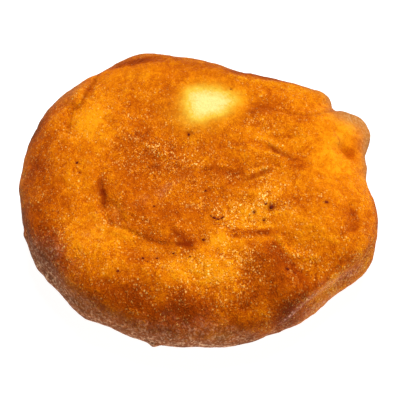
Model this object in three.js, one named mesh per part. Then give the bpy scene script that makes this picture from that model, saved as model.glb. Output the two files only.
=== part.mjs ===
// A round fried meat pie: yeast dough closed by hand over a meat filling, patted flat and fried on both
// sides. It is uncut, so it is one solid. A puffed ring runs round a sunken hub on top, a seam where the two
// sheets of dough meet runs low round the front, and a pinched ear of dough stands out at the back right.
// Millimetres and degrees. +X is right, +Y is back, +Z is up, and the flat underside is at z = 0.

import * as THREE from "three";

const { clamp, degToRad, euclideanModulo, smoothstep } = THREE.MathUtils;

// Driving dimensions
const halfLength = 58.6;
const halfWidth = 57.2;
const crownHeight = 26.8; // the puffed ring's top
const waistHeight = 12; // where the side stands out furthest
const footInset = 15; // from the side in to the edge of the flat underside
const shoulder = 2.8; // how square the top edge is: 2 is a plain round, more is squarer
const middle = new THREE.Vector2(0.5, -0.6); // of the outline, which centres the pie's box on the origin

// How finely the crust is faceted
const crownRings = 31; // rings from the crown's middle out to the waist
const footRings = 8; // rings from the waist down to the edge of the flat underside

// What changes round the side, each by its angle from +X and half its width in degrees.
// An outline bulge stands out by its reach, or draws in where that is below 0.
const outlineBulges = [
  { name: "right lobe", at: 332, reach: 2.8, spread: 13 },
  { name: "flat front right", at: 320, reach: -1.2, spread: 8 },
  { name: "dip before the ear", at: 2, reach: -3.5, spread: 10 },
  { name: "ear's neck", at: 14, reach: -1.4, spread: 3.5 },
  { name: "ear", at: 26, reach: 5, spread: 9 },
  { name: "notch", at: 35, reach: -3.2, spread: 3.4 },
  { name: "back right corner", at: 42, reach: 1.2, spread: 4 },
  { name: "flat back right", at: 71, reach: -6, spread: 20 },
  { name: "back corner", at: 111, reach: 3.8, spread: 9 },
  { name: "back left", at: 139, reach: 4.2, spread: 30 },
  { name: "left front", at: 207, reach: 1, spread: 7 },
  { name: "front left corner", at: 230, reach: 1.3, spread: 8 },
  { name: "front", at: 260, reach: 0.2, spread: 30 },
];

// A shoulder change makes the top edge squarer where it is above 0, or rounder.
const shoulderChanges = [
  { name: "square front left", at: 215, more: 1.8, spread: 24 },
  { name: "square front right", at: 320, more: 2.2, spread: 24 },
  { name: "round back", at: 125, more: -0.5, spread: 30 },
];

// The groove where the two sheets of dough meet, along the stretches of the side where it shows.
const seamHeight = 17;
const seamWidth = 2.6; // half the width of the groove
const seamStretches = [
  { name: "front left seam", at: 222, depth: 0.9, spread: 26 },
  { name: "front right seam", at: 318, depth: 1.7, spread: 20 },
];

// Soft hills and hollows of the top: centre, height, and half the length and width along the lump's own turn.
const topLumps = [
  { name: "sunken hub", x: 0, y: -6, rise: -3.2, length: 31, width: 24, turn: -6 },
  { name: "right lobe", x: 42.5, y: -20, rise: 1.8, length: 15, width: 12, turn: 20 },
  { name: "front ring", x: -8, y: -39, rise: 0.8, length: 24, width: 8, turn: 0 },
  { name: "left ring", x: -46, y: 6, rise: 0.7, length: 8, width: 16, turn: 8 },
  { name: "back ridge", x: -20, y: 46, rise: 1, length: 20, width: 6, turn: 6 },
  { name: "back right ridge", x: 24, y: 38, rise: 0.8, length: 18, width: 5, turn: -10 },
  { name: "pale hollow", x: 4.5, y: 29.5, rise: -1.6, length: 11, width: 8, turn: 10 },
  { name: "ear drop", x: 56.5, y: 24, rise: -6, length: 10, width: 10, turn: 0 },
  { name: "ear pit", x: 48.7, y: 12, rise: -3.2, length: 4.5, width: 3.5, turn: 60 },
  { name: "lobe dimple", x: 47.6, y: -17.8, rise: -0.9, length: 5, width: 3.5, turn: 70 },
];

// Creases of the top: the points that each runs through, how deep it is, half its width, and how far the
// crust on its left stands below the crust on its right.
const topCreases = [
  {
    name: "hub edge", depth: 1.4, width: 2.6, step: -0.9,
    path: [[-30.5, 0.5], [-31.5, -7.5], [-30, -15.5], [-25, -23.5], [-16.5, -28], [-7.5, -30.5], [0, -29.5]],
  },
  {
    name: "valley", depth: 1.2, width: 3, step: 1.6,
    path: [[22.5, -28.6], [28, -36], [32.5, -41], [37, -45]],
  },
  {
    name: "front right fold", depth: 0.9, width: 2.6, step: 0.3,
    path: [[7.5, -23.6], [13, -25.6], [18.5, -25.5], [24.5, -25.6]],
  },
  {
    name: "back flap", depth: 1.5, width: 2.6, step: 0.4,
    path: [[13.5, 24.4], [21, 27], [29, 26], [36.5, 27.4], [47, 33]],
  },
  {
    name: "upper wrinkle", depth: 0.8, width: 3, step: 0.4,
    path: [[15, 12.6], [22.5, 10.6], [26.5, 7.5], [30.5, 4.5], [34.5, -1.5]],
  },
  {
    name: "lower wrinkle", depth: 0.7, width: 3, step: 0.3,
    path: [[9, -6.5], [16.5, -3.4], [20.5, -1.3], [27, 1.2]],
  },
  {
    name: "left tuck", depth: 1.2, width: 2.8, step: 0.5,
    path: [[-34.5, 46], [-36, 35], [-40, 28.5], [-43, 23], [-43, 12]],
  },
];

const bell = (x) => Math.exp(-x * x);
const angleBetween = (a, b) => euclideanModulo(a - b + 180, 360) - 180;

// What a list of changes adds up to at an angle round the side.
function changeAt(angle, changes, size) {
  return changes.reduce(
    (sum, change) => sum + change[size] * bell(angleBetween(angle, change.at) / change.spread), 0);
}

function outlineRadius(angle) {
  const turn = degToRad(angle);
  const plain = 1 / Math.hypot(Math.cos(turn) / halfLength, Math.sin(turn) / halfWidth);
  return plain + changeAt(angle, outlineBulges, "reach");
}

// The height that a lump adds at a spot.
function lumpRise(lump, spot) {
  const centre = new THREE.Vector2(lump.x, lump.y);
  const local = spot.clone().rotateAround(centre, -degToRad(lump.turn)).sub(centre);
  return lump.rise * bell(Math.hypot(local.x / lump.length, local.y / lump.width));
}

// Each crease as a row of points, evenly spaced on a smooth curve through its path.
const creaseLines = topCreases.map((crease) => {
  const curve = new THREE.SplineCurve(crease.path.map(([x, y]) => new THREE.Vector2(x, y)));
  return { ...crease, points: curve.getSpacedPoints(24) };
});

// How far a spot is from a row of points, on which side of it (1 is left, -1 is right), and how far along it.
function nearestOnLine(points, spot) {
  let best = { distance: Infinity };
  for (let i = 0; i + 1 < points.length; i++) {
    const step = points[i + 1].clone().sub(points[i]);
    const toSpot = spot.clone().sub(points[i]);
    const share = clamp(toSpot.dot(step) / step.lengthSq(), 0, 1);
    const distance = toSpot.distanceTo(step.clone().multiplyScalar(share));
    if (distance < best.distance) {
      best = { distance, side: Math.sign(step.cross(toSpot)), along: (i + share) / (points.length - 1) };
    }
  }
  return best;
}

// The groove of a crease, fading out at both ends, with the crust a little lower on one side of it.
function creaseRise(crease, spot) {
  const { distance, side, along } = nearestOnLine(crease.points, spot);
  const fade = smoothstep(along, 0, 0.2) * (1 - smoothstep(along, 0.8, 1));
  const groove = -crease.depth * bell(distance / crease.width);
  const ledge = -crease.step * side * (distance / crease.width) * bell(distance / (2.5 * crease.width));
  return fade * (groove + ledge);
}

function crownAt(spot) {
  const lumps = topLumps.reduce((sum, lump) => sum + lumpRise(lump, spot), 0);
  const creases = creaseLines.reduce((sum, crease) => sum + creaseRise(crease, spot), 0);
  return crownHeight + lumps + creases;
}

// Where a radius meets an angle round the side.
function spotAt(angle, radius) {
  return new THREE.Vector2(radius, 0).rotateAround(new THREE.Vector2(), degToRad(angle)).add(middle);
}

// A point of the top's section, as shares of the outline and of the crown's height over the waist. The tilt
// runs from 0 at the waist to 90 at the crown.
function topSection(tilt, square) {
  const point = new THREE.Vector2(Math.cos(degToRad(tilt)), Math.sin(degToRad(tilt)));
  return point.multiplyScalar((point.x ** square + point.y ** square) ** (-1 / square));
}

// The plain section of the top, from the crown to the waist.
class TopCurve extends THREE.Curve {
  arcLengthDivisions = 1000;
  getPoint(t) {
    return topSection(90 * (1 - t), shoulder).multiply({ x: halfLength, y: crownHeight - waistHeight });
  }
}

// The tilts at which rings lie evenly spaced along it.
function evenTilts() {
  const curve = new TopCurve();
  const tiltOf = (ring) => 90 * (1 - curve.getUtoTmapping(ring / crownRings));
  return Array.from({ length: crownRings + 1 }, (_, ring) => tiltOf(ring));
}

function topPoint(angle, tilt) {
  const { x: out, y: up } = topSection(tilt, shoulder + changeAt(angle, shoulderChanges, "more"));
  const level = waistHeight + up * (crownHeight - waistHeight);
  const seam = changeAt(angle, seamStretches, "depth") * bell((level - seamHeight) / seamWidth);
  const spot = spotAt(angle, out * (outlineRadius(angle) - seam));
  return new THREE.Vector3(spot.x, spot.y, waistHeight + up * (crownAt(spot) - waistHeight));
}

function footPoint(angle, tilt) {
  const spot = spotAt(angle, outlineRadius(angle) - footInset * (1 - Math.cos(degToRad(tilt))));
  return new THREE.Vector3(spot.x, spot.y, waistHeight * (1 - Math.sin(degToRad(tilt))));
}

// The whole crust. Ring k of the top has 6k points, so that its facets are nearly even triangles. The foot's
// rings keep the waist's count, and a fan closes the flat underside.
function crustGeometry() {
  const round = 6 * crownRings;
  const ringStart = (ring) => (ring === 0 ? 0 : 1 + 3 * ring * (ring - 1));
  const onTop = (ring, step) => (ring === 0 ? 0 : ringStart(ring) + (step % (6 * ring)));
  const onFoot = (ring, step) => ringStart(crownRings) + ring * round + (step % round);

  const tilts = evenTilts();
  const points = [topPoint(0, tilts[0])];
  const index = [];
  for (let ring = 1; ring <= crownRings; ring++) {
    for (let step = 0; step < 6 * ring; step++) {
      points.push(topPoint((60 * step) / ring, tilts[ring]));
      const inner = step - Math.floor(step / ring);
      index.push(onTop(ring - 1, inner), onTop(ring, step), onTop(ring, step + 1));
      if ((step + 1) % ring !== 0) {
        index.push(onTop(ring - 1, inner), onTop(ring, step + 1), onTop(ring - 1, inner + 1));
      }
    }
  }
  for (let ring = 1; ring <= footRings; ring++) {
    for (let step = 0; step < round; step++) {
      points.push(footPoint((360 * step) / round, (90 * ring) / footRings));
      index.push(onFoot(ring - 1, step), onFoot(ring, step), onFoot(ring - 1, step + 1));
      index.push(onFoot(ring - 1, step + 1), onFoot(ring, step), onFoot(ring, step + 1));
    }
  }
  points.push(new THREE.Vector3(middle.x, middle.y, 0));
  for (let step = 0; step < round; step++) {
    index.push(points.length - 1, onFoot(footRings, step + 1), onFoot(footRings, step));
  }
  return new THREE.BufferGeometry().setFromPoints(points).setIndex(index);
}

const pie = new THREE.Mesh(
  crustGeometry(),
  new THREE.MeshStandardMaterial({ color: 0xd0690c, roughness: 0.45, metalness: 0 }),
);
pie.name = "pie";

const object = new THREE.Group();
object.add(pie);

export default object;
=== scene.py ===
import math

import bmesh
import bpy
import numpy as np
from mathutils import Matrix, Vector, noise
from mathutils.bvhtree import BVHTree


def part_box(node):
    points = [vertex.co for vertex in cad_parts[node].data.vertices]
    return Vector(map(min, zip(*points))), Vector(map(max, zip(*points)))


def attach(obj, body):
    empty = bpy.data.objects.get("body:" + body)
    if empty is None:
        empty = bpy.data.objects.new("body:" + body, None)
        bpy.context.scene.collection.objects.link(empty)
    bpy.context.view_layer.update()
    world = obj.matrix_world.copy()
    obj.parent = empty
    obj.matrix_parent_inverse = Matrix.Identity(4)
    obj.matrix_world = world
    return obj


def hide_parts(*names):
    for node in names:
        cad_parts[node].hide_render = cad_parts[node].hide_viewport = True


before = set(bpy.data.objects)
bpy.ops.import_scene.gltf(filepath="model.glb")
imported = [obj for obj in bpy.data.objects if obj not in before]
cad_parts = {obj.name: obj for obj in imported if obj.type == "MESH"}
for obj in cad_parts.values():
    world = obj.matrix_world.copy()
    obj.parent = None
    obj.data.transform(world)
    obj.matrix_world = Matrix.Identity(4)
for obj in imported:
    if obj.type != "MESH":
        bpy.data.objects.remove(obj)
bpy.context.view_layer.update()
pieLow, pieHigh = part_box("pie")
mm = 0.001
print("frame loaded: the pie is %.1f mm across" % ((pieHigh.x - pieLow.x) / mm))


def smoothStep(values, start, end):
    share = np.clip((values - start) / (end - start), 0, 1)
    return share * share * (3 - 2 * share)


def bell(values):
    return np.exp(-values * values)


def fadedEnds(along, first=0.2, last=0.8):
    # a stroke fades in until the first share of its path and out after the last one
    return smoothStep(along, 0, first) * (1 - smoothStep(along, last, 1))


def softSpot(places, x, y, long, wide, much, turn=0, crisp=1):
    # an oval spot: all of it in the middle, about a third at its edge
    turn = math.radians(turn)
    x, y = places[:, 0] - x, places[:, 1] - y
    along = (x * math.cos(turn) + y * math.sin(turn)) / long
    across = (y * math.cos(turn) - x * math.sin(turn)) / wide
    return much * np.exp(-(along * along + across * across) ** crisp)


def paintSpots(places, spots):
    return sum(softSpot(places, *spot) for spot in spots.values())


def stretch(angles, middle, wide, much):
    # a soft stretch of the side round an angle
    return much * bell((angles - middle) / wide)


def smoothLine(path, stepsEach=8):
    # points along a smooth curve through every point of the path
    ends = [path[0]] + list(path) + [path[-1]]
    line = []
    for a, b, c, d in zip(ends, ends[1:], ends[2:], ends[3:]):
        a, b, c, d = (np.array(p, float) for p in (a, b, c, d))
        for step in range(stepsEach):
            t = step / stepsEach
            line.append(0.5 * (2 * b + (c - a) * t + (2 * a - 5 * b + 4 * c - d) * t * t
                               + (3 * b - a - 3 * c + d) * t ** 3))
    line.append(np.array(path[-1], float))
    return np.array(line)


def nearStep(places, start, step):
    # for each place: the way there from the start, its share of the way along the step, its distance from it
    away = places - start
    share = np.clip(away @ step / (step @ step), 0, 1)
    return away, share, np.linalg.norm(away - share[:, None] * step, axis=1)


def nearLine(places, path):
    # distance from a line, side of it (1 is left) and share of the way along it, for each place
    line = smoothLine(path)
    best = np.full(len(places), 1e9)
    side = np.zeros(len(places))
    along = np.zeros(len(places))
    for i, (start, step) in enumerate(zip(line, line[1:] - line[:-1])):
        away, share, distance = nearStep(places, start, step)
        closer = distance < best
        best[closer] = distance[closer]
        side[closer] = np.sign(step[0] * away[closer, 1] - step[1] * away[closer, 0])
        along[closer] = (i + share[closer]) / (len(line) - 1)
    return best, side, along


def insideOutline(places, outline):
    # how deep each place lies inside a closed outline, below 0 outside it
    corners = smoothLine(list(outline) + [outline[0]])
    depth, inside = np.full(len(places), 1e9), np.zeros(len(places), bool)
    for start, end in zip(corners, corners[1:]):
        step = end - start
        away, _, distance = nearStep(places, start, step)
        depth = np.minimum(depth, distance)
        crosses = (start[1] > places[:, 1]) != (end[1] > places[:, 1])
        if start[1] != end[1]:
            inside ^= crosses & (places[:, 0] < start[0] + step[0] * away[:, 1] / step[1])
    return np.where(inside, depth, -depth)


def roughness(places, size, seed, octaves=2):
    # random hills about that many millimetres apart, from about -1 to 1
    shift = Vector((seed * 17.3, seed * 5.1, seed * 9.7))
    return np.array([noise.fractal(Vector(p) / size + shift, 0.8, 2.1, octaves) for p in places])


def linked(name, data):
    thing = bpy.data.objects.new(name, data)
    bpy.context.scene.collection.objects.link(thing)
    return thing


def evaluatedMesh(piece):
    bpy.context.view_layer.update()
    graph = bpy.context.evaluated_depsgraph_get()
    done = piece.evaluated_get(graph)
    return bpy.data.meshes.new_from_object(done, preserve_all_data_layers=True, depsgraph=graph)


def vertexRows(mesh, key):
    rows = np.empty(3 * len(mesh.vertices))
    mesh.vertices.foreach_get(key, rows)
    return rows.reshape(-1, 3)


def addValues(mesh, name, values):
    layer = mesh.attributes.new(name, "FLOAT", "POINT")
    layer.data.foreach_set("value", np.asarray(values, np.float32))


def newNode(tree, kind, inputs=None, **settings):
    node = tree.nodes.new(kind)
    for key, value in settings.items():
        setattr(node, key, value)
    for socket, value in (inputs or {}).items():
        if isinstance(value, bpy.types.NodeSocket):
            tree.links.new(value, node.inputs[socket])
        else:
            node.inputs[socket].default_value = value
    return node


def mathNode(tree, operation, *values, clamp=False):
    inputs = dict(enumerate(values))
    return newNode(tree, "ShaderNodeMath", inputs, operation=operation, use_clamp=clamp).outputs[0]


def vectorNode(tree, operation, first, second):
    inputs = {0: first, "Scale" if operation == "SCALE" else 1: second}
    return newNode(tree, "ShaderNodeVectorMath", inputs, operation=operation).outputs[0]


def noiseNode(tree, inputs, output="Fac"):
    return newNode(tree, "ShaderNodeTexNoise", inputs).outputs[output]


def colourRamp(tree, factor, stops):
    ramp = newNode(tree, "ShaderNodeValToRGB", {0: factor})
    elements = ramp.color_ramp.elements
    while len(elements) < len(stops):
        elements.new(0.5)
    for element, (place, colour) in zip(elements, stops):
        element.position = place
        element.color = (*colour, 1)
    return ramp.outputs["Color"]


def mixColours(tree, factor, first, second, blend="MIX"):
    first, second = ((*colour, 1) if isinstance(colour, tuple) else colour for colour in (first, second))
    sockets = {0: factor, 6: first, 7: second}
    return newNode(tree, "ShaderNodeMix", sockets, data_type="RGBA", blend_type=blend).outputs[2]


def newMaterial(name):
    material = bpy.data.materials.new(name)
    material.use_nodes = True
    material.node_tree.nodes.clear()
    return material, material.node_tree


def endMaterial(tree, inputs):
    shader = newNode(tree, "ShaderNodeBsdfPrincipled", inputs)
    newNode(tree, "ShaderNodeOutputMaterial", {"Surface": shader.outputs[0]})


crustFinish = {
    # linear colour of the crust from least to most fried
    "friedColours": [
        (0.0, (0.82, 0.29, 0.004)),
        (0.25, (0.65, 0.165, 0.0008)),
        (0.5, (0.44, 0.077, 0.0004)),
        (0.75, (0.28, 0.036, 0.0004)),
        (1.0, (0.17, 0.019, 0.0004)),
    ],
    "paleColours": [
        (0.0, (0.68, 0.30, 0.006)),
        (0.5, (0.72, 0.44, 0.04)),
        (1.0, (0.80, 0.66, 0.22)),
    ],
    "sideColour": (0.345, 0.1, 0.034),
    "sideGrainColour": (0.92, 0.52, 0.29),
    "streakShares": [(0, (0.5, 0.48, 0.48)), (1, (1.4, 1.4, 1.42))],  # how streaks darken or lighten the side
    "ashenSheenColour": (0.42, 0.17, 0.035),
    "ashenSheenGrainColour": (0.52, 0.26, 0.09),
    # painted shade at the very back: the share of its colour that the crust keeps there
    "backShadeShare": (0.84, 0.87, 0.5),  # how much of its colour the crust keeps at the very back
    # painted shade in creases, also the dark rings round burnt specks
    "creaseColour": (0.19, 0.014, 0.0004),
    # colours of the drops; the palest stands for a glint
    "dropColour": (1.0, 0.43, 0.06),
    "palestDropGlintColour": (1.0, 0.61, 0.16),
    "chalkyHighlightColour": (1.0, 0.52, 0.38),
    "drawnOut": (1.15, 0.85, 1.1),  # the patterns are finer across than from front to back
    # patches that fry darker or lighter at random: how far apart, how strongly they tint, how high they stand
    "grain": {"size": 0.4 * mm, "detail": 1, "warp": 0, "tint": 1.5, "rise": 0.8},
    "pimples": {"size": 0.95 * mm, "detail": 1, "warp": 0.5, "tint": 0.5, "rise": 1.3},
    "puckers": {"size": 3.2 * mm, "detail": 2, "warp": 1.6, "tint": 0.6, "rise": 1.2},
    "mottle": {"size": 7 * mm, "detail": 3, "warp": 1.2, "tint": 0.5},
    "unevenness": (0.33, 1.5),  # how much of grain and pimples shows on smooth and on rough crust
    "darkest": 0.14,  # how far they darken it at most
    # tiny drops of oily crust that shine, their paler colour a painted glint: how far apart, how wide in that
    # share, how far off round, how high, how pale
    "drops": {"size": 0.72 * mm, "small": 0.25, "large": 0.6, "warp": 0.4, "rise": 0.4, "paler": 1.45},
    "bumpHeight": 0.2 * mm,
    "dryRoughness": 0.8,
    "oilyRoughness": 0.3,
}


def crustPattern(tree, finish):
    # the random patterns that the crust and its blisters share
    place = newNode(tree, "ShaderNodeTexCoord").outputs["Object"]
    place = vectorNode(tree, "MULTIPLY", place, finish["drawnOut"])
    pattern = {}
    for name in ("grain", "pimples", "puckers", "mottle"):
        patches = finish[name]
        pattern[name] = noiseNode(tree, {
            "Vector": place, "Scale": 1 / patches["size"], "Detail": patches["detail"], "Roughness": 0.6,
            "Distortion": patches["warp"]})

    drops = finish["drops"]
    stray = noiseNode(tree, {"Vector": place, "Scale": 1.4 / drops["size"], "Detail": 1.0}, "Color")
    stray = vectorNode(tree, "SUBTRACT", stray, (0.5, 0.5, 0.5))
    stray = vectorNode(tree, "SCALE", stray, 2 * drops["warp"] * drops["size"])
    bent = vectorNode(tree, "ADD", place, stray)
    cells = newNode(tree, "ShaderNodeTexVoronoi", {"Vector": bent, "Scale": 1 / drops["size"]})
    chance = newNode(tree, "ShaderNodeSeparateColor", {0: cells.outputs["Color"]}).outputs
    reach = mathNode(tree, "MULTIPLY_ADD", chance[0], drops["large"] - drops["small"], drops["small"])
    away = mathNode(tree, "DIVIDE", cells.outputs["Distance"], reach)
    dome = mathNode(tree, "SUBTRACT", 1.0, mathNode(tree, "MULTIPLY", away, away), clamp=True)
    # bubbly crust has more drops
    wanted = mathNode(tree, "MULTIPLY_ADD", painted(tree, "bubbly"), 1.2, 0.15)
    wanted = mathNode(tree, "SUBTRACT", wanted, chance[1])
    present = mathNode(tree, "MULTIPLY", wanted, 8.0, clamp=True)
    pattern["drops"] = mathNode(tree, "MULTIPLY", dome, present)
    # painted glints: most drops are hardly paler than the crust, a few much paler
    luck = mathNode(tree, "MULTIPLY_ADD", mathNode(tree, "POWER", chance[2], 2.0), 0.75, 0.25)
    pattern["pale drops"] = mathNode(tree, "MULTIPLY", pattern["drops"], luck)
    pattern["luck"] = luck
    return pattern


def painted(tree, name):
    return newNode(tree, "ShaderNodeAttribute", attribute_name=name).outputs["Fac"]


def friedColour(tree, finish, pattern):
    def tinted(first, second):
        tint = 0.0
        for name in (first, second):
            darker = mathNode(tree, "SUBTRACT", 0.5, pattern[name])
            tint = mathNode(tree, "MULTIPLY_ADD", darker, finish[name]["tint"], tint)
        return tint

    calm, rough = finish["unevenness"]
    share = mathNode(tree, "MULTIPLY_ADD", painted(tree, "bubbly"), rough - calm, calm)
    fine = mathNode(tree, "MULTIPLY", tinted("grain", "pimples"), share)
    fine = mathNode(tree, "SMOOTH_MIN", fine, finish["darkest"], 0.5)
    tint = mathNode(tree, "ADD", fine, tinted("puckers", "mottle"))
    return colourRamp(tree, mathNode(tree, "ADD", tint, painted(tree, "fried")), finish["friedColours"])


def makeCrustMaterial(finish):
    material, tree = newMaterial("friedCrust")
    pattern = crustPattern(tree, finish)
    bubbly = painted(tree, "bubbly")
    side = painted(tree, "side")
    crease = painted(tree, "crease")

    colour = friedColour(tree, finish, pattern)
    # painted glints: drops are palest where the crust is bubbly and not yet dark
    paler = mathNode(tree, "MULTIPLY_ADD", bubbly, 0.7, 0.22)
    paler = mathNode(tree, "MULTIPLY", pattern["pale drops"], paler)
    light = mathNode(tree, "MULTIPLY_ADD", painted(tree, "fried"), -0.9, 1.4)
    paler = mathNode(tree, "MULTIPLY", paler, light)
    paler = mathNode(tree, "MULTIPLY", paler, finish["drops"]["paler"], clamp=True)
    tone = mathNode(tree, "ADD", pattern["luck"], mathNode(tree, "MULTIPLY_ADD", bubbly, 0.5, -0.35))
    dropGlintTone = mixColours(tree, tone, finish["dropColour"], finish["palestDropGlintColour"])
    colour = mixColours(tree, paler, colour, dropGlintTone)

    pale = painted(tree, "pale")
    uneven = mathNode(tree, "MULTIPLY_ADD", mathNode(tree, "SUBTRACT", pattern["pimples"], 0.5), 0.6, pale)
    paleShare = newNode(tree, "ShaderNodeMapRange", {"Value": pale, "From Max": 0.45}).outputs[0]
    colour = mixColours(tree, paleShare, colour, colourRamp(tree, uneven, finish["paleColours"]))

    # painted shade at the very back of the crust
    backShaded = mixColours(tree, 1.0, colour, finish["backShadeShare"], "MULTIPLY")
    colour = mixColours(tree, painted(tree, "backShade"), colour, backShaded)
    speckle = newNode(tree, "ShaderNodeMapRange", {
        "Value": pattern["pimples"], "From Min": 0.48, "From Max": 0.72}).outputs[0]
    for name, share in (("ashenSheen", painted(tree, "ashenSheen")), ("side", side)):
        tone = mixColours(tree, speckle, finish[name + "Colour"], finish[name + "GrainColour"])
        colour = mixColours(tree, share, colour, tone)
    streaks = colourRamp(tree, painted(tree, "streak"), finish["streakShares"])
    colour = mixColours(tree, side, colour, mixColours(tree, 1.0, colour, streaks, "MULTIPLY"))
    # the chalky streaks, partly a painted highlight, are broken up by the crust's pimples
    broken = mathNode(tree, "MULTIPLY_ADD", speckle, 1.7, 0.25)
    chalkyHighlight = mathNode(tree, "MULTIPLY", painted(tree, "chalkyHighlight"), broken)
    colour = mixColours(tree, chalkyHighlight, colour, finish["chalkyHighlightColour"])
    # painted shade in the creases, and the dark rings round burnt specks
    colour = mixColours(tree, crease, colour, finish["creaseColour"])

    height = mathNode(tree, "MULTIPLY", pattern["grain"], finish["grain"]["rise"])
    for name in ("pimples", "puckers", "drops"):
        height = mathNode(tree, "MULTIPLY_ADD", pattern[name], finish[name]["rise"], height)
    bump = newNode(tree, "ShaderNodeBump", {
        "Height": height, "Distance": finish["bumpHeight"], "Strength": 1.0}).outputs[0]
    # only drops outside the greyish side and the creases shine
    dry = mathNode(tree, "ADD", side, crease, clamp=True)
    wet = mathNode(tree, "MULTIPLY", pattern["drops"], mathNode(tree, "SUBTRACT", 1.0, dry))
    rough = newNode(tree, "ShaderNodeMapRange", {
        "Value": wet, "From Min": 0.0, "From Max": 0.35,
        "To Min": finish["dryRoughness"], "To Max": finish["oilyRoughness"]}).outputs[0]
    endMaterial(tree, {
        "Base Color": colour,
        "Roughness": rough,
        "Normal": bump,
        "Specular IOR Level": 0.5,
        "Specular Tint": (1.0, 0.35, 0.03, 1),
    })
    return material


# Every place is in millimetres in the pie's own frame: x to the right, y to the back.

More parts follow.
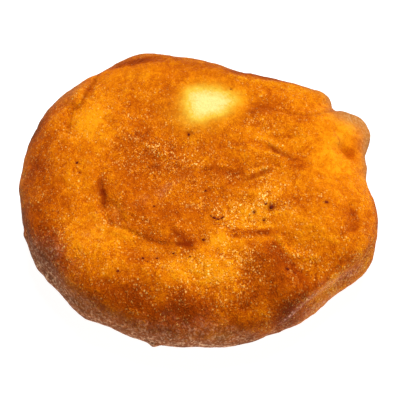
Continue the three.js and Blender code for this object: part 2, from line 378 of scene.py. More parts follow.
crustShape = {
    "levels": 2,  # how often each facet of the solid is split
    "fineReach": 2.0,  # how far from a stained crease they are split once more
    # hills of three sizes: how far apart, how high, and how much darker their hollows and lighter their tops
    # are painted, as shade and light
    "lumps": {"size": 9, "rise": 0.5, "fried": 0.05},
    "puckers": {"size": 3.6, "rise": 0.26, "fried": 0.12},
    "pimples": {"size": 1.6, "rise": 0.16, "fried": 0.07},
    "fried": 0.36,  # how far the crust is fried, and how rough it is, where nothing else is said
    "bubbly": 0.3,
    "wobble": 0.15,  # how far the creases stray from their paths
    # creases; beside them the crust may rise or sink: how far to the left, how much, how wide
    "lines": {
        "hub edge left": {
            "depth": 0.25, "width": 0.5, "beside": [(-2.8, 0.55, 2.2), (3.2, -0.38, 2.6)],
            "path": [(-31.2, 0), (-31.1, -6.7), (-30.3, -11.1), (-29.7, -16.6), (-28.4, -20.2)]},
        "hub edge front": {
            "depth": 0.14, "width": 0.5, "beside": [(-1.8, 0.58, 1.9), (4, -0.7, 2.2), (0.6, 0.2, 0.9)],
            "path": [(-30.2, -13), (-29.4, -17.6), (-26.3, -22.7), (-21.9, -24.6), (-17.8, -26.6),
                (-14.4, -28.4), (-8.8, -29.6), (-3, -29.9)]},
        "valley": {"depth": 0.4, "width": 0.9, "dark": 0.15, "path": [
            (22.2, -26.6), (24.6, -29.8), (26, -32.6), (28.2, -35.6), (30.6, -38.3), (33, -41),
            (35.5, -43.4)]},
        "front right fold": {"depth": 0.1, "width": 0.8, "beside": [(-0.5, 0.35, 1.8)], "path": [
            (9, -23.6), (13, -24.9), (18, -25.1), (24.7, -25.3)]},
        "flap": {"depth": 0.5, "width": 0.9, "dark": 0.3, "path": [
            (18.9, 27.2), (23.9, 25.5), (28.8, 23.9), (32.1, 23.1), (35.4, 22.8), (39.9, 24.1), (44.3, 27.4),
            (48, 32)]},
        "upper wrinkle": {"depth": 0.22, "width": 0.7, "dark": 0.1, "path": [
            (18, 10.8), (21.4, 10.1), (23.3, 8.8), (24.9, 7.2), (26.5, 6), (29.7, 4.3), (32.6, 1.4)]},
        "lower wrinkle": {"depth": 0.1, "width": 0.5, "dark": 0.2, "beside": [(0, 0.5, 1.7)], "path": [
            (13.5, -5.2), (16.5, -3.6), (18.5, -2.5), (20.4, -1.9), (22.4, -0.5), (24.6, -0.6)]},
        "small wrinkle": {"depth": 0.25, "width": 0.6, "dark": 0.2, "path": [
            (28, 12.4), (32, 12.9), (36.5, 12.4)]},
        "middle wrinkle": {"depth": 0.25, "width": 0.8, "dark": 0.2, "path": [
            (0, -0.6), (2.5, -0.2), (5, 0.4), (8, -0.2), (11, -1.4)]},
        "left tuck": {"depth": 0.6, "width": 0.7, "dark": 0.3, "beside": [(-2.6, 0.45, 2)], "path": [
            (-34, 47), (-35.6, 42), (-36.4, 38), (-37.5, 33.7), (-38.7, 30.8), (-40.6, 28), (-42.5, 26.2),
            (-43, 23.5), (-43, 19.6), (-42, 15)]},
        "left tuck branch": {"depth": 0.3, "width": 0.6, "dark": 0.25, "path": [
            (-47, 32), (-45.9, 31.4), (-43.3, 29.5), (-40, 28)]},
        "ear cleft": {"depth": 0.6, "width": 1.6, "dark": 0.1, "path": [
            (48, 33.5), (46.5, 29), (46, 24), (46.2, 19), (46.8, 15.5), (47.8, 12.3), (49, 8.7)]},
        "dimple": {"depth": 0.5, "width": 1.2, "dark": 0.1, "path": [
            (47.5, -13.5), (48.9, -15.2), (49.6, -17.7), (50, -20.5), (48.7, -23.9), (45.4, -26)]},
    },
    # low ridges: how high, how wide, and how much paler than the crust beside them, a highlight painted on
    # their crests
    "ridges": {
        "upper wrinkle crest": {"rise": 0.3, "width": 1.2, "pale": 0.16, "path": [
            (17, 12.6), (20, 12.4), (22.8, 11.2), (25.8, 9.4), (28.5, 7.6), (32, 4.6)]},
        "under the upper wrinkle": {"rise": 0.3, "width": 0.7, "pale": 0.14, "path": [
            (21.4, 6.6), (24, 5.4), (27, 3.9)]},
        "lower wrinkle crest": {"rise": 0.15, "width": 0.9, "pale": 0.2, "path": [
            (14.5, -2.1), (17, -0.8), (20.5, -0.3), (24.7, 0.7)]},
        "under the lower wrinkle": {"rise": 0.15, "width": 0.8, "pale": 0.2, "path": [
            (15.5, -6.2), (18, -5), (21, -4), (24, -3)]},
        "rough edge": {"rise": 0.05, "width": 1.3, "pale": 0.12, "path": [
            (8, -22.4), (13, -23), (18, -23.2), (24, -22.8)]},
        "lobe ridge": {"rise": 0.5, "width": 1.4, "pale": 0.1, "path": [
            (23, -27.4), (25.7, -30), (28.2, -33), (31.8, -34.1), (35.8, -34.1), (41, -32.4)]},
        "lobe root": {"rise": 0.35, "width": 1.2, "pale": 0.05, "path": [(34, -9), (39, -9.6), (44, -11)]},
        "hub glint ridge": {"rise": 0.35, "width": 1.5, "pale": 0.1, "path": [
            (-19, 8.5), (-14, 7.5), (-9, 4), (-4, 2.5)]},
        "left lobe": {"rise": 0.4, "width": 1.8, "pale": 0.14, "path": [
            (-39, 41), (-40, 37), (-41.5, 33.5), (-43.5, 31.6)]},
        "left ridge": {"rise": 0.3, "width": 1.3, "pale": 0.06, "path": [
            (-33.5, 40), (-34.6, 35), (-36.5, 31)]},
        "back right ridge": {"rise": 0.4, "width": 1.4, "pale": 0.1, "path": [
            (9, 42.6), (13, 40.4), (19.9, 38), (26.7, 38.4), (33, 38.6)]},
        "front shoulder ridge": {"rise": 0.3, "width": 1.2, "pale": 0.05, "path": [
            (-9, -36), (-6, -41), (-4.5, -46)]},
    },
}

# Strokes along creases: fried stains, painted shade in the creases and on the slopes beside them, and painted
# light on the ring's lip: how wide left and right of the path, how much more fried, how much crease red.
creaseStainsAndShade = {
    "hub edge left": {"left": 1.2, "right": 1, "crease": 0.9, "path": [
        (-31.2, -3.5), (-31.1, -6.7), (-30.9, -8.6), (-30.3, -11.1), (-30, -13.8), (-29.7, -16.6)]},
    "hub edge left shade": {"left": 2.4, "right": 1.4, "fried": 0.1, "path": [
        (-31.3, -1), (-31.1, -6.7), (-30.3, -11.1), (-29.9, -15), (-29, -18.9)]},
    "hub edge middle": {"left": 1.1, "right": 0.8, "crease": 0.3, "path": [
        (-29.2, -17.8), (-28, -20.8), (-26.3, -22.7), (-24.1, -23.6), (-21.9, -24.6), (-20, -25.5)]},
    "hub edge front": {"left": 0.9, "right": 0.7, "crease": 0.45, "path": [
        (-22, -24.6), (-17.8, -26.6), (-14.4, -28.4), (-11.9, -29), (-8.8, -29.6), (-5.7, -29.9)]},
    # painted shade on the hub's slope beside its edge, and painted light on the ring's lip
    "hub side of the edge": {"left": 5, "right": 0.4, "fried": 0.1, "path": [
        (-31.2, 2), (-31.1, -6.7), (-30.3, -11.1), (-29.7, -16.6), (-28, -20.8), (-26.3, -22.7),
        (-21.9, -24.6), (-17.8, -26.6), (-14.4, -28.4), (-8.8, -29.6), (-3, -29.9)]},
    "ring side of the edge": {"left": 0.4, "right": 4, "fried": -0.1, "path": [
        (-32, -10), (-30.3, -14), (-29.7, -16.6), (-28, -20.8), (-26.3, -22.7), (-21.9, -24.6),
        (-17.8, -26.6), (-14.4, -28.4), (-9, -30)]},
    "hub pit": {"left": 1.2, "right": 0.9, "crease": 1, "path": [
        (-8, -29.7), (-5, -29.9), (-3, -30.1), (-1, -30.5)]},
    "hub pit branch": {"left": 0.8, "right": 0.9, "crease": 0.8, "path": [
        (-8.6, -23.6), (-6.3, -26.3), (-5.1, -27.4), (-3.4, -29.6)]},
    "upper wrinkle": {"left": 1.2, "right": 1.1, "crease": 0.7, "path": [
        (20.6, 10.4), (23.3, 8.8), (24.9, 7.2), (26.5, 6), (28.4, 5.1), (29.7, 4.3), (32, 2.6)]},
    "upper wrinkle tail": {"left": 1.6, "right": 1.6, "fried": 0.22, "path": [
        (28.5, 5), (31.6, 3), (32.8, 0.8), (33.3, -1.8)]},
    "upper wrinkle start": {"left": 0.7, "right": 0.7, "fried": 0.16, "path": [
        (11, 9.6), (14, 9.6), (18, 10.6), (21.4, 10.1)]},
    "lower wrinkle": {"left": 1.2, "right": 1.1, "crease": 0.62, "path": [
        (14.2, -5.2), (16.5, -3.9), (18.5, -2.8), (20.4, -2.1), (22.4, -0.8), (25, -0.8)]},
    # painted shade on the slope of the fold, which faces the front
    "front right fold": {"left": 1, "right": 1.3, "fried": 0.3, "path": [
        (8.5, -23.4), (11.1, -24.6), (12.9, -25.2), (17.6, -25.5), (22.2, -25.5), (25.5, -25.5)]},
    "under the fold": {"left": 1.6, "right": 1.4, "fried": 0.24, "path": [
        (8, -26), (11, -26.8), (15, -27), (19, -26.2), (23, -26)]},
    "fold to the valley": {"left": 1.3, "right": 1.3, "fried": 0.14, "path": [
        (24, -25.3), (27, -27.4), (29, -30)]},
    # painted shade on the valley's slope
    "valley": {"left": 0.6, "right": 2.6, "fried": 0.3, "path": [
        (22.3, -28), (24.3, -30.6), (26, -33.1), (28.7, -36.1), (31, -39), (33.4, -41.6), (36, -43.8)]},
    "left tuck": {"left": 0.6, "right": 0.7, "crease": 0.62, "path": [
        (-33.5, 47.5), (-34.7, 45.2), (-37.2, 37.5), (-38.4, 33), (-39.5, 29.6), (-41.3, 27.4), (-42.6, 26)]},
    "left tuck end": {"left": 0.5, "right": 1, "crease": 0.4, "path": [
        (-42, 27), (-42.8, 24.5), (-43, 20.5), (-42.3, 13.8)]},
    "under the left lobe": {"left": 0.7, "right": 0.9, "crease": 0.45, "path": [
        (-48, 31.2), (-45.7, 30.6), (-43, 28.8), (-40.5, 28.2)]},
    "back left band": {"left": 2.4, "right": 0.5, "fried": 0.24, "path": [
        (-31, 46.6), (-29, 47), (-25, 47.4), (-20, 47.8), (-14, 48.6)]},
    "dimple": {"left": 0.8, "right": 2.2, "fried": 0.3, "path": [
        (48.4, -15), (49.5, -17.7), (50, -20.5), (48.7, -23.9), (45.4, -26), (42, -28.6)]},
}

# Rounded dents and bumps of the top. Each spot has its place, half the length, half the width, how much, and
# for some how far the oval is turned and how crisp it is.
crustDents = {
    "ear pit": (49.6, 9.3, 2.8, 2, -1.7, -60),
    "beside the ear pit": (45.4, 13.4, 2.4, 2.4, 1.5),
    "ear": (52, 20, 5, 6, 0.5),
}

# Small bumps of the side: place, how high, and half the width.
sideNubs = {
    "front nub": (-13.6, -55.8, 9, 1.3, 1.6),
    "left nub": (-55.2, -19.8, 14.7, 0.9, 2.2),
    "front left nub": (-47, -35, 12, 0.4, 3),
}

# Pale streaks along the right shoulder, above the side, partly dry crust and partly a painted highlight on
# the shoulder's edge: half the width, and how chalky.
shoulderStreaks = [
    {"width": 0.8, "chalkyHighlight": 0.4, "path": [
        (24, -52.8, 14.4), (27.9, -50.4, 16.2), (31, -48.2, 17.8), (33.4, -46.4, 18.9), (35.6, -44.9, 19.9),
        (38.8, -42.2, 19.4)]},
    {"width": 1.8, "chalkyHighlight": 0.18, "path": [
        (36.5, -44, 19.6), (38.8, -42.2, 19.4), (42.3, -39, 17.2), (45.7, -36.2, 16.2), (48.9, -33.7, 15.7),
        (52.6, -30.4, 15)]},
    {"width": 2.0, "chalkyHighlight": 0.2, "path": [
        (31, -49, 13), (36, -45.6, 12.5), (40, -42, 11.5), (44, -38.5, 10.5)]},
]

# How high the greyish side reaches, by the angle from +X.
sideEdge = [
    (0, 13), (60, 15), (120, 15), (180, 13), (198, 15), (207, 20), (216, 21.5), (222, 20.5), (228, 19),
    (236, 17.3), (245, 16), (254, 16.4), (262, 17.5), (272, 17.5), (279, 16), (287, 13.2), (296, 12.5),
    (304, 14), (312, 14.5), (325, 14), (345, 12), (360, 13),
]

# How much of the greyish colour shows on the side, by the same angle.
sideShare = [
    (0, 0.2), (30, 0.7), (180, 1), (288, 1), (296, 0.75), (301, 0.5), (306, 0.2), (312, 0.1), (345, 0.12),
    (360, 0.2),
]

# Stretches of the steep side: the angle in their middle, how wide, how much; the lighter one at 312 is
# painted light on the shaded right wall.
friedStretches = [(298, 6, 0.2), (312, 10, -0.34), (346, 10, 0.12)]  # darker above 0
bubblyStretch = (316, 22, 0.55)  # rough with small bubbles, below the right shoulder
# the rim of the back is made darker and given a greyish painted sheen
backStretch = (92, 75, 1)  # the dull rim of the back
streakyStretch = (288, 14, -0.3)  # darker streaks

# Burnt crumbs stuck in the crust: place, width, how much longer than wide, how far turned, how dark a ring.
burntSpecks = [
    (-3.1, 13.4, 0.82, 1.3, 80, 0.5), (-39.2, 1.8, 0.74, 1.4, 70, 0.5), (-38.1, -1.9, 0.41, 1.2, 0, 0.5),
    (11, 34.2, 0.37, 1.2, 30, 0.5), (2.3, -8.4, 0.74, 1.2, 20, 0.5), (-17, -34.8, 0.66, 1.3, -30, 0.5),
    (-15.6, -36.2, 0.41, 1.2, 10, 0.5), (-12.7, -34.8, 0.57, 1.5, 60, 0.5), (-7.6, -33.1, 0.6, 1.5, 20, 0.5),
    (-2.6, -34.6, 0.49, 1.3, 45, 0.5), (-24.6, -39.6, 0.74, 1.3, 10, 0.5), (1.6, -28, 0.9, 1.1, -50, 0.5),
    (-14, -15.2, 0.49, 1.2, 0, 0.5), (23, -16.1, 1.3, 1.2, 60, 0.8), (21.4, -14.8, 0.57, 1.8, 15, 0.5),
    (17.5, -17.7, 0.6, 1.2, 40, 0.9), (16, -18.8, 0.41, 1.4, 30, 0.5), (20.5, -20.9, 0.55, 1.5, 20, 0.8),
    (40.2, -15.1, 0.8, 1.7, -30, 0.7), (27.1, -39.2, 0.66, 1.5, -40, 0.5), (29.4, -39.9, 0.49, 1.3, 0, 0.5),
    (4, -18.8, 0.49, 2, -40, 0.4), (5, -19.6, 0.82, 1.6, -20, 0.4), (6.2, -20.1, 0.74, 1.9, 0, 0.4),
    (7.5, -19.6, 0.57, 2, 35, 0.4),
]

# Where the crust fried darker (above 0) or stayed lighter than the rest of its top; many spots also paint
# shade and light of the relief, such as the darker front shoulder and the ear pit.
friedSpots = {
    "hub": (-2, -5, 29, 23, 0.16, -6, 2),
    "hub upper left": (-14, 6, 8, 5, 0.12, 10),
    "inside the hub's upper left": (-14, 3.5, 3, 1.8, -0.14),
    "hub middle": (7, -1, 4, 2.5, 0.06),
    "hub back": (-3.5, 7, 5, 3, -0.14, -40),
    "hub heart": (2, 2, 3, 3, -0.1),
    "hub left of the middle": (-12, 0.5, 6, 2.2, 0.18, -20),
    "hub middle left": (-17, -5.5, 3, 3, -0.07),
    "left of the hub's back corner": (-20, 12, 5, 4, 0.1),
    "under the wrinkles": (14, 5, 6, 2.5, -0.14, -15),
    "right of the wrinkles": (31, 12.5, 4, 4, -0.12),
    "right of the flap's foot": (34, 20, 4, 5, 0.17),
    "hub left": (-22, -8, 5, 11, 0.08),
    "hub lower left": (-12, -17, 11, 6, 0.06, -30),
    "above the pit": (-7, -17.5, 2.4, 2, 0.22),
    "pit": (-2.8, -29.2, 2.2, 1.6, 0.36),
    "pit's back": (-5.8, -25.6, 2.6, 1.1, 0.16, -40),
    "pit's front": (-2, -32, 1.6, 1.2, 0.16),
    "pit halo": (-5, -28.5, 4, 2.6, 0.18, -30),
    "middle fleck": (3.7, 0.2, 2, 1.1, 0.25),
    "middle fleck left": (1.3, -0.8, 1.5, 0.6, 0.2, 20),
    "middle fleck right": (11, -1.3, 3, 1.2, 0.2),
    "right fleck": (31.5, -13.6, 2.5, 2, 0.16),
    "small wrinkle fleck": (29, 12.9, 1.6, 0.6, 0.2),
    "lobe dimple": (47.5, -18.5, 3, 4, 0.18),
    "left of the pit": (-14, -28, 4.5, 2, 0.22, -20),
    "rough bright": (15.5, -17, 9.5, 5.5, -0.3, 28),
    "rough bright end": (25, -7, 6, 3.5, -0.14, 40),
    "right of the rough": (27, -14, 5, 3, 0.12),
    "below the hub": (7, -29, 4, 3.5, -0.3),
    "front bright": (0, -40, 12, 4.5, -0.24),
    "front left bright": (-33, -28, 11, 6, -0.1, -20),
    "left patch": (-35.5, 18.5, 6.5, 8, -0.26, 0, 2),
    "over the left patch": (-33.5, 29, 6, 5, -0.16),
    "left of the hub's back": (-18, 30, 7, 10, 0.05),
    "back left bright": (-19, 42, 11, 4, -0.08, 6),
    "right bright": (43, 9, 6.5, 14, -0.24, 8),
    "right rim": (54, -4, 4, 12, -0.06),
    "beside the flap": (27, 27, 4, 4, 0.12),
    "back right bright": (36, 33, 12, 5, -0.14, -12),
    "over the hub's left": (-15, 13, 5, 4, 0.1),
    "left of the hub's heart": (-7.5, 3.5, 2, 2, 0.16),
    "hub bright fleck": (4.5, -9, 2.5, 2, -0.1),
    "ear's inner side": (43, 23, 3, 3, -0.1),
    "upper middle bright": (15, 11, 5, 5, -0.07),
    "left of the pale patch": (-10.5, 28, 3, 9, 0.12),
    "right of the pale patch": (20, 25.5, 4, 5, 0.2),
    "behind the pale patch": (1, 42.5, 7, 4, 0.08, -8),
    # painted shade in the ear's pit
    "ear pit": (49.6, 9.6, 2.8, 2, 0.3, -60),
    "under the ear": (53, 15, 3, 4, 0.1),
    "under the upper wrinkle": (26, 6, 6, 2, 0.05, -40),
    "lobe shade": (37, -13, 6, 4, 0.1),
    "lobe front": (40, -34, 8, 3.5, 0.16, 8),
    "left ring inside": (-48, -11, 3.5, 8, 0.16),
    "left ring": (-46, -7, 5, 18, 0.15),
    "left rim": (-55.5, -1, 5, 27, 0.27),
    "left rim middle": (-54, 0, 5, 5, 0.12),
    "left rim behind": (-51, 28, 4, 12, 0.22, -28),
    "back left strip": (-41, 38, 4, 8, 0.12, -40),
    # the front shoulder spots are partly painted shade
    "front left shoulder": (-47, -29, 5, 13, 0.42, 26),
    "front left corner": (-36, -42, 9, 3.5, 0.2, -38),
    "front left streak": (-18, -36, 3.5, 6, 0.16, 15),
    "front shoulder left": (-20, -47.5, 10, 5, 0.46, -14),
    "front shoulder": (-3, -51.5, 11, 4, 0.51),
    "front spur": (-12.5, -41, 2, 4, 0.08, 12),
    "front edge": (-2, -55.5, 24, 2.6, 0.28),
    "front right of the middle": (14.5, -49, 4.5, 3.5, 0.24),
    "right of the patch's foot": (17, 22, 3, 5, 0.24, -25),
    "right edge of the patch": (13, 29, 3.5, 7, -0.26, 20),
    "between hub and ring": (-37, -15, 5, 2.5, 0.1, 15),
    "left of the patch": (-33, 23, 4, 2.5, 0.14),
    "between the patches": (-20, 25, 4, 5, 0.1),
    "right of the lower wrinkle": (31, 0.5, 3, 3, 0.12),
    "right of the fold": (23.5, -23.5, 3.5, 1.6, -0.16),
    "left of the fold": (9.5, -22.5, 3, 2, 0.16, 20),
    "valley bright": (22.5, -40, 2.5, 3, -0.14),
    "beside the valley": (23, -44, 10, 7, 0.4, -10),
    "valley head": (23, -34.5, 4.5, 5, 0.36, 20),
    "front right shoulder": (38, -43, 10, 3.5, 0.25, 36),
    "back left edge": (-18, 55, 9, 1.8, 0.16, 2),
    "back left band": (-20, 50, 13, 2.4, 0.34, 4),
    "back right band": (20, 43.6, 11, 2.8, 0.5, -16),
    "back right": (40, 31, 8, 4, 0.04, -20),
    "ear": (50.5, 19, 4, 5, -0.28),
    "ear's top": (49.5, 29, 4, 2.5, 0.46),
    "right rim in front": (54, -20, 3, 11, 0.05, -14),
    "under the right shoulder": (26, -51, 3.5, 2.2, 0.3, 25),
    "right shoulder": (31.5, -46.6, 4, 1.8, 0.14, 35),
    "right shoulder's end": (46, -35, 4.5, 1.8, 0.2, 38),
    "front edge right of the middle": (5, -55.5, 5, 2.5, -0.25),
    "front shoulder gap": (-12, -49, 3.5, 2, -0.15),
    "front shoulder dark": (-6, -47, 4, 5, 0.28, 20),
    "front left rim": (-40, -41, 6, 3, -0.14, -40),
    "beside the hub edge": (-31.3, -9.5, 2.2, 4.5, 0.3, 4),
    "left rim behind the middle": (-55.5, 22, 2.6, 7, 0.42, -14),
    "left ring behind": (-50.5, 7, 3, 12, 0.2),
    "left ring in front": (-46.5, -31, 5, 2.5, 0.36, -40),
    "right of the front bright": (16, -34.5, 4, 3.5, 0.2),
    "under the specks": (-14, -35, 4, 2, 0.14, 10),
    "under the pit": (-4, -33, 2.2, 1.6, 0.12),
    "left of the right shoulder": (29, -44.5, 4.5, 3, -0.12, 30),
    "right of the valley head": (27.5, -34, 2.2, 1.8, -0.14),
    "over the upper wrinkle": (22, 14, 6, 2.5, -0.1, -20),
    "gap of the front shoulder": (-12.5, -47.8, 2.5, 2, -0.14),
    "right edge": (57, 10, 2, 14, -0.12),
    "right edge in front": (57.5, -12, 1.6, 9, 0.2),
    "left edge": (-57.5, 0, 2.2, 11, -0.22),
    "hub upper left ring": (-17, 6, 2.5, 2.5, 0.1),
    "hub upper left foot": (-15, 0, 3, 2, 0.08),
    "behind the patch": (-2, 47, 4, 4, 0.16),
    "back left fleck": (-15, 47, 4, 2.5, 0.14),
}

# Where the dough hardly browned, up to cream at 1: its outline, how far its edge fades inwards and outwards.
palePatch = {
    "outline": [
        (-6.2, 28.4), (-5.6, 33.3), (-2.4, 35.6), (3.5, 35.6), (9.6, 34.4), (13.8, 32), (15.3, 29),
        (13.8, 25.6), (9.2, 22.2), (5, 19.6), (1, 17.6), (-3, 18.4), (-5.6, 22.5)],
    "inwards": 8, "outwards": 2.6, "ragged": 1.2,
}
paleSpots = {
    "heart": (4, 27, 6, 5, 0.3, -15),
    "back heart": (3, 32, 6, 4, 0.15),
    "golden halo": (2.5, 26.5, 13, 11, 0.12, 20, 1.6),
    "golden foot": (-3, 18.5, 6, 3.5, 0.12, -20),
}

# Where the crust is rougher with fine pale sand and blisters, or smoother.
bubblySpots = {
    "rough heart": (14, -18, 6, 3, 0.5, 20),
    "hub glints": (-12, 5, 12, 7, 0.45, -20),
    "hub middle": (-2, -8, 12, 7, 0.25, -40),
    "rough bright": (17, -16, 11, 6, 0.9, 28),
    "front bright": (4, -38, 16, 7, 0.5),
    "front shoulder": (-8, -50, 30, 6, 0.1),
    "front left": (-42, -26, 8, 16, 0.2, 30),
    "lobe ridge": (33, -34, 8, 4, 0.3),
    "pale patch": (4, 27.5, 11, 9, -1, 0, 2),
    "ear": (52, 24, 9, 12, -0.7, 0, 2),
    "right": (44, 4, 9, 18, -0.35),
    "back": (0, 46, 50, 9, -0.35),
}

# Where the crust is greyish above the side, a painted sheen on these rims: the ear, and the strip left of the
# tuck.
ashenSheenSpots = {
    "ear": (51, 27.5, 6.5, 6, 0.8, 0, 1.5),
    "ear's back": (57, 19, 3, 9, 0.6),
    "ear's neck": (57, 6, 3, 7, 0.5),
    "left strip": (-44, 38, 4, 8, 0.3, -38),
    "back right corner": (45, 36, 6, 3, 0.35, -30),
}


def crustMesh(shape):
    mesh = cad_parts["pie"].data.copy()
    mesh.materials.clear()
    made = bmesh.new()
    made.from_mesh(mesh)
    bmesh.ops.remove_doubles(made, verts=made.verts, dist=0.01 * mm)
    bmesh.ops.join_triangles(made, faces=made.faces, angle_face_threshold=0.7, angle_shape_threshold=0.8)
    made.to_mesh(mesh)
    made.free()
    rough = linked("crust", mesh)
    split = rough.modifiers.new("split", "SUBSURF")
    split.levels = split.render_levels = shape["levels"]
    mesh = evaluatedMesh(rough)
    bpy.data.objects.remove(rough)

    # the crust is split once more along the stained creases
    made = bmesh.new()
    made.from_mesh(mesh)
    made.normal_update()
    flat = np.array([vert.co[:2] for vert in made.verts]) / mm
    close = np.zeros(len(flat), bool)
    for stain in creaseStainsAndShade.values():
        close |= nearLine(flat, stain["path"])[0] < shape["fineReach"]
    close &= np.array([vert.normal.z > 0.3 for vert in made.verts])
    edges = [edge for edge in made.edges if close[edge.verts[0].index] and close[edge.verts[1].index]]
    bmesh.ops.subdivide_edges(made, edges=edges, cuts=1, use_grid_fill=True)
    made.to_mesh(mesh)
    made.free()
    return mesh


def sculptCrust(mesh, shape):
    points = vertexRows(mesh, "co") / mm
    normals = vertexRows(mesh, "normal")
    flat, up = points[:, :2], normals[:, 2]
    count = len(points)
    angle = np.degrees(np.arctan2(flat[:, 1], flat[:, 0])) % 360
    onTop = smoothStep(up, 0.05, 0.35)
    above = up > -0.2
    underside = smoothStep(-up, 0.5, 0.9)

    # creases, the stains and painted shade along them, and ridges with their lips painted paler as a
    # highlight
    crease, highlightLips, rise, stained = np.zeros((4, count))
    stray = shape["wobble"] * roughness(points, size=1.7, seed=7)
    patchy = 0.85 + 0.35 * roughness(points, size=2.2, seed=12)
    for line in shape["lines"].values():
        distance, side, along = nearLine(flat, line["path"])
        fade = fadedEnds(along, 0.15, 0.85) * onTop
        groove = bell((distance * side + stray) / line["width"]) * fade
        rise -= line["depth"] * groove
        for left, height, width in line.get("beside", []):
            rise += height * bell((distance * side - left) / width) * fade
        # painted shade in each groove
        crease = np.maximum(crease, line.get("dark", 0) * groove * patchy)
    for stain in creaseStainsAndShade.values():
        distance, side, along = nearLine(flat, stain["path"])
        away = distance * side + 2 * stray
        stroke = bell(away / np.where(away > 0, stain["left"], stain["right"])) * onTop
        stroke *= fadedEnds(along) * patchy
        stained += stain.get("fried", 0) * stroke
        crease = np.maximum(crease, stain.get("crease", 0) * stroke)
    for ridge in shape["ridges"].values():
        distance, side, along = nearLine(flat, ridge["path"])
        crest = bell((distance * side + 1.5 * stray) / ridge["width"]) * (fadedEnds(along) * onTop)
        rise += ridge["rise"] * crest
        # painted highlight on the ridge crests
        highlightLips = np.maximum(highlightLips, ridge["pale"] * crest)

    # where the crust is rough with fine sand and blisters
    steep = (1 - smoothStep(up, 0.3, 0.85)) * above
    bubbly = shape["bubbly"] + paintSpots(flat, bubblySpots) * above + 2.5 * highlightLips
    bubbly += steep * stretch(angle, *bubblyStretch)
    bubbly = np.clip(bubbly * (1 + 0.95 * roughness(points, size=4, seed=10, octaves=3)), 0, 1.5)

    fried = shape["fried"] + paintSpots(flat, friedSpots) * above + stained - highlightLips
    fried += 0.04 * roughness(points, size=12, seed=4)
    # the lighter stretch of the right wall is painted light
    fried += steep * sum(stretch(angle, *each) for each in friedStretches)
    # the rim of the back: darker, and greyish as a painted sheen
    backRim = (1 - smoothStep(up, 0.6, 0.88)) * stretch(angle, *backStretch) * above
    # painted shade at the very back of the top, where the crust is also made a little less fried
    behind = smoothStep(flat[:, 1] + 0.25 * flat[:, 0], 38, 50) * above
    fried += 0.15 * backRim - 0.05 * behind
    for name, seed in (("lumps", 1), ("puckers", 2), ("pimples", 3)):
        hills = roughness(points, shape[name]["size"], seed)
        if name != "lumps":
            hills *= 0.4 + 0.6 * bubbly
        rise += shape[name]["rise"] * hills * (1 - 0.7 * underside)
        # painted shade in the hollows of the hills, painted light on their tops
        fried -= shape[name]["fried"] * hills

    burnt = np.zeros(count)
    for x, y, across, _, _, halo in burntSpecks:
        away = np.linalg.norm(flat - [x, y], axis=1)
        burnt = np.maximum(burnt, halo * bell(away / (1.1 * across)) * onTop)
    rise -= 0.35 * burnt
    # the burnt ring round each speck is drawn in the crease colour
    crease = np.maximum(crease, np.minimum(1.4 * burnt, 1))
    for x, y, z, high, wide in sideNubs.values():
        rise += high * bell(np.linalg.norm(points - [x, y, z], axis=1) / wide)

    points += normals * rise[:, None]
    points[:, 2] += paintSpots(flat, crustDents) * onTop
    points[:, 2] = np.maximum(points[:, 2], 0)
    mesh.vertices.foreach_set("co", (points * mm).ravel())
    mesh.update()

    ragged = roughness(points, size=5, seed=8) + 0.5 * roughness(points, size=1.5, seed=9)
    depth = insideOutline(flat, palePatch["outline"]) + palePatch["ragged"] * ragged
    patch = smoothStep(depth, -palePatch["outwards"], palePatch["inwards"])
    pale = (0.74 * patch + paintSpots(flat, paleSpots)) * above
    # painted greyish sheen on the ear, the strip left of the tuck and the rim of the back
    ashenSheen = paintSpots(flat, ashenSheenSpots) * above + 0.4 * backRim

    # the greyish side fades in below its edge
    edge = np.interp(angle, *zip(*sideEdge))
    edge += 2 * roughness(points, size=5, seed=5) + 1.5 * roughness(points, size=1.8, seed=15)
    side = 1 - smoothStep(points[:, 2], edge - 7.5, edge + 4.5)
    side *= np.interp(angle, *zip(*sideShare))
    # painted highlight along the right shoulder's edge, partly dry crust
    chalkyHighlight = np.zeros(count)
    for streak in shoulderStreaks:
        distance, _, along = nearLine(points, streak["path"])
        stroke = bell((distance + 0.8 * stray) / streak["width"]) * above
        chalkyHighlight = np.maximum(chalkyHighlight, streak["chalkyHighlight"] * (stroke * fadedEnds(along, 0.2, 0.85)))
    # fine streaks run round the side: they are drawn out along it
    radius = np.hypot(flat[:, 0], flat[:, 1])
    rimPlaces = np.stack([np.radians(angle) * 58 / 5, radius / 2.5, points[:, 2] / 0.9], 1)
    streaks = 0.5 + 0.45 * roughness(rimPlaces, size=1, seed=6, octaves=3)
    chalkyHighlight *= 0.6 + 0.8 * np.clip(streaks, 0, 1)
    streaks += stretch(angle, *streakyStretch)

    # the fried share also carries painted shade and light from the spots, strokes, ridges and hills
    addValues(mesh, "fried", fried)
    addValues(mesh, "bubbly", bubbly)
    addValues(mesh, "blistered", bubbly * (1 - side) * (1 - patch) * onTop)
    addValues(mesh, "backShade", behind)
    addValues(mesh, "side", side)
    shares = {"pale": pale, "ashenSheen": ashenSheen, "streak": streaks, "chalkyHighlight": chalkyHighlight, "crease": crease}
    for name, share in shares.items():
        addValues(mesh, name, np.clip(share, 0, 1))


mesh = crustMesh(crustShape)
sculptCrust(mesh, crustShape)
mesh.shade_smooth()
crust = linked("crust", mesh)
crust.data.materials.append(makeCrustMaterial(crustFinish))
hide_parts("pie")
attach(crust, "root")
print("crust shaped: %d faces" % len(mesh.polygons))


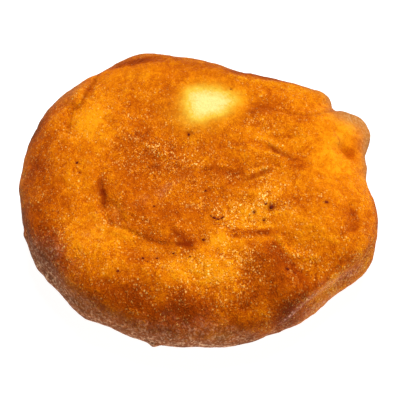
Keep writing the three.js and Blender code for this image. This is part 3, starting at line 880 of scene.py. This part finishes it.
def newTree(name, inputs):
    # an empty geometry tree with named number inputs
    tree = bpy.data.node_groups.new(name, "GeometryNodeTree")
    tree.interface.new_socket("Geometry", in_out="INPUT", socket_type="NodeSocketGeometry")
    for label, value in inputs.items():
        kind = "NodeSocketInt" if isinstance(value, int) else "NodeSocketFloat"
        tree.interface.new_socket(label, in_out="INPUT", socket_type=kind).default_value = value
    tree.interface.new_socket("Geometry", in_out="OUTPUT", socket_type="NodeSocketGeometry")
    return tree, newNode(tree, "NodeGroupInput").outputs


def stored(tree, name, kind="FLOAT"):
    return newNode(tree, "GeometryNodeInputNamedAttribute", {"Name": name}, data_type=kind).outputs[0]


def placedCopies(tree, points, rotation, shape, scale, turn):
    # a copy of the shape on each point, turned about its own upright by the turn
    copies = newNode(tree, "GeometryNodeInstanceOnPoints", {
        "Points": points, "Instance": shape, "Rotation": rotation, "Scale": scale}).outputs[0]
    turned = newNode(tree, "ShaderNodeCombineXYZ", {"Z": turn}).outputs[0]
    copies = newNode(tree, "GeometryNodeRotateInstances", {0: copies, "Rotation": turned}).outputs[0]
    return newNode(tree, "GeometryNodeRealizeInstances", {0: copies}).outputs[0]


def endTree(tree, copies, material):
    smooth = newNode(tree, "GeometryNodeSetShadeSmooth", {"Geometry": copies}).outputs[0]
    done = newNode(tree, "GeometryNodeSetMaterial", {"Geometry": smooth, "Material": material}).outputs[0]
    newNode(tree, "NodeGroupOutput", {0: done})
    return tree


def grown(name, start, tree, inputs, material):
    # runs a tree on a starting mesh and keeps the result as a plain mesh
    piece = linked(name, start)
    modifier = piece.modifiers.new(name, "NODES")
    modifier.node_group = tree
    for item in tree.interface.items_tree:
        if item.in_out == "INPUT" and item.name in inputs:
            modifier[item.identifier] = inputs[item.name]
    mesh = evaluatedMesh(piece)
    piece.modifiers.clear()
    piece.data = mesh
    if not mesh.materials:
        mesh.materials.append(material)
    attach(piece, "root")
    print("%s: %d faces" % (name, len(mesh.polygons)))


blisters = {"Apart": 4.2 * mm, "Smallest": 0.2 * mm, "Largest": 0.45 * mm, "Height": 0.25, "Seed": 4}


def makeBlisterMaterial(finish, lighter):
    # thin bubbles that fried a little paler than the crust round them, shining with oil
    material, tree = newMaterial("oilyBlisters")
    colour = friedColour(tree, finish, crustPattern(tree, finish))
    endMaterial(tree, {
        "Base Color": mixColours(tree, lighter, colour, finish["dropColour"]),
        "Roughness": 0.4,
        "Specular IOR Level": 0.55,
        "Specular Tint": (1.0, 0.75, 0.3, 1),
    })
    return material


def blisterTree(material):
    # low domes scattered over the crust where it is blistered, each turned to the surface
    tree, given = newTree("fryingBlisters", blisters)
    spread = newNode(tree, "GeometryNodeDistributePointsOnFaces", {
        "Mesh": given["Geometry"], "Distance Min": given["Apart"], "Density Max": 1.2e6,
        "Density Factor": stored(tree, "blistered"), "Seed": given["Seed"],
    }, distribute_method="POISSON").outputs

    def chance(least, most, seed):
        inputs = {"Min": least, "Max": most, "Seed": seed}
        return newNode(tree, "FunctionNodeRandomValue", inputs, data_type="FLOAT").outputs[1]

    ball = newNode(tree, "GeometryNodeMeshUVSphere", {"Segments": 8, "Rings": 6, "Radius": 1.0}).outputs[0]
    place = newNode(tree, "GeometryNodeInputPosition").outputs[0]
    height = newNode(tree, "ShaderNodeSeparateXYZ", {0: place}).outputs["Z"]
    below = newNode(tree, "FunctionNodeCompare", {0: height, 1: -0.1}, operation="LESS_THAN").outputs[0]
    dome = newNode(tree, "GeometryNodeDeleteGeometry", {"Geometry": ball, "Selection": below}).outputs[0]
    size = chance(given["Smallest"], given["Largest"], given["Seed"])
    scale = newNode(tree, "ShaderNodeCombineXYZ", {
        "X": mathNode(tree, "MULTIPLY", size, chance(0.8, 1.5, 11)), "Y": size,
        "Z": mathNode(tree, "MULTIPLY", size, given["Height"])}).outputs[0]
    copies = placedCopies(tree, spread["Points"], spread["Rotation"], dome, scale, chance(0.0, 6.28, 12))
    return endTree(tree, copies, material)


blisterFinish = makeBlisterMaterial(crustFinish, 0.14)
grown("blisters", crust.data.copy(), blisterTree(blisterFinish), blisters, blisterFinish)

crumbs = {"Dents": 0.35, "Height": 0.45}
crumbColours = [(0.35, (0.07, 0.008, 0.006)), (0.55, (0.14, 0.014, 0.006)), (0.75, (0.28, 0.03, 0.004))]


def makeBurntMaterial():
    material, tree = newMaterial("burntSpecks")
    place = newNode(tree, "ShaderNodeTexCoord").outputs["Object"]
    grain = noiseNode(tree, {"Vector": place, "Scale": 1 / (0.5 * mm), "Detail": 2})
    bump = newNode(tree, "ShaderNodeBump", {
        "Height": grain, "Distance": 0.1 * mm, "Strength": 1.0}).outputs[0]
    endMaterial(tree, {
        "Base Color": colourRamp(tree, grain, crumbColours),
        "Roughness": 0.7,
        "Normal": bump,
        "Specular IOR Level": 0.1,
        "Specular Tint": (1.0, 0.4, 0.2, 1),
    })
    return material


def crumbTree(material):
    # a flattened, dented crumb on every point of the starting mesh
    tree, given = newTree("burntCrumbs", crumbs)
    ball = newNode(tree, "GeometryNodeMeshIcoSphere", {"Radius": 0.5, "Subdivisions": 3}).outputs[0]
    across = stored(tree, "across")
    scale = newNode(tree, "ShaderNodeCombineXYZ", {
        "X": mathNode(tree, "MULTIPLY", across, stored(tree, "long")), "Y": across,
        "Z": mathNode(tree, "MULTIPLY", across, given["Height"])}).outputs[0]
    facing = {"Vector": stored(tree, "facing", "FLOAT_VECTOR")}
    upright = newNode(tree, "FunctionNodeAlignRotationToVector", facing, axis="Z").outputs[0]
    copies = placedCopies(tree, given["Geometry"], upright, ball, scale, stored(tree, "turn"))
    dents = noiseNode(tree, {"Scale": 1 / (0.8 * mm), "Detail": 1.0}, "Color")
    centred = vectorNode(tree, "SUBTRACT", dents, (0.5, 0.5, 0.5))
    moved = vectorNode(tree, "SCALE", centred, mathNode(tree, "MULTIPLY", given["Dents"], mm))
    dented = newNode(tree, "GeometryNodeSetPosition", {"Geometry": copies, "Offset": moved}).outputs[0]
    return endTree(tree, dented, material)


def crumbPoints(specks):
    # one loose point on the crust for each crumb, with its size, turn and the way up
    surface = BVHTree.FromObject(crust, bpy.context.evaluated_depsgraph_get())
    x, y, across, long, turn, _ = np.array(specks).T
    hits = [surface.ray_cast(Vector((*place, 1)), Vector((0, 0, -1))) for place in zip(x * mm, y * mm)]
    mesh = bpy.data.meshes.new("crumbPoints")
    mesh.from_pydata([hit[0] for hit in hits], [], [])
    addValues(mesh, "across", across * mm)
    addValues(mesh, "long", long)
    addValues(mesh, "turn", np.radians(turn))
    facing = mesh.attributes.new("facing", "FLOAT_VECTOR", "POINT")
    facing.data.foreach_set("vector", np.array([hit[1] for hit in hits], np.float32).ravel())
    return mesh


burntFinish = makeBurntMaterial()
grown("crumbs", crumbPoints(burntSpecks), crumbTree(burntFinish), crumbs, burntFinish)

# The floor glows, so that shadows stay faint. A light that isn't mirrored leaves no veil on the oily crust.
setting = {
    "floor": {"across": 6.0, "colour": (0.35, 0.35, 0.35), "glow": 0.95},
    "worldStrength": 0.05,
    "lights": {
        "softbox": {"size": 0.5, "at": (0.1, 0.35, 1.08), "power": 8.2, "mirrored": False},
        "spark": {"size": 0.07, "at": (0.15, 0.5, 1.15), "power": 12, "mirrored": True},
        "fill": {"size": 0.3, "at": (0.75, -0.42, 0.16), "power": 2.5, "mirrored": False},
    },
    "camera": {"elevation": 54, "distance": 0.43, "aim": (0.0005, -0.0037, 0.012), "lens": 117.9},
}


def makeFloor(across, colour, glow):
    corners = [(x * across / 2, y * across / 2, pieLow.z) for x, y in ((-1, -1), (1, -1), (1, 1), (-1, 1))]
    mesh = bpy.data.meshes.new("floor")
    mesh.from_pydata(corners, [], [(0, 1, 2, 3)])
    floor = linked("floor", mesh)
    material = bpy.data.materials.new("paleFloor")
    material.use_nodes = True
    inputs = material.node_tree.nodes["Principled BSDF"].inputs
    inputs["Base Color"].default_value = (*colour, 1)
    inputs["Roughness"].default_value = 0.9
    inputs["Emission Color"].default_value = (1, 1, 1, 1)
    inputs["Emission Strength"].default_value = glow
    mesh.materials.append(material)
    floor.visible_glossy = False  # the oily rim would mirror it as a white line


def makeLight(name, at, size, power, mirrored):
    lamp = bpy.data.lights.new(name, "AREA")
    lamp.shape = "DISK"
    lamp.size = size
    lamp.energy = power
    light = linked(name, lamp)
    light.location = at
    light.rotation_euler = (-Vector(at)).to_track_quat("-Z", "Y").to_euler()
    light.visible_glossy = mirrored


def makeCamera(elevation, distance, aim, lens):
    data = bpy.data.cameras.new("camera")
    data.lens = lens
    camera = linked("camera", data)
    tilt = math.radians(elevation)
    back = Vector((0, -math.cos(tilt), math.sin(tilt)))
    camera.location = Vector(aim) + back * distance
    camera.rotation_euler = (-back).to_track_quat("-Z", "Y").to_euler()
    bpy.context.scene.camera = camera


makeFloor(**setting["floor"])
world = bpy.data.worlds.new("studio")
world.use_nodes = True
background = world.node_tree.nodes["Background"].inputs
background["Color"].default_value = (1, 1, 1, 1)
background["Strength"].default_value = setting["worldStrength"]
bpy.context.scene.world = world
for name, light in setting["lights"].items():
    makeLight(name, **light)
makeCamera(**setting["camera"])
bpy.context.scene.view_settings.view_transform = "Standard"
print("floor, light and camera set")
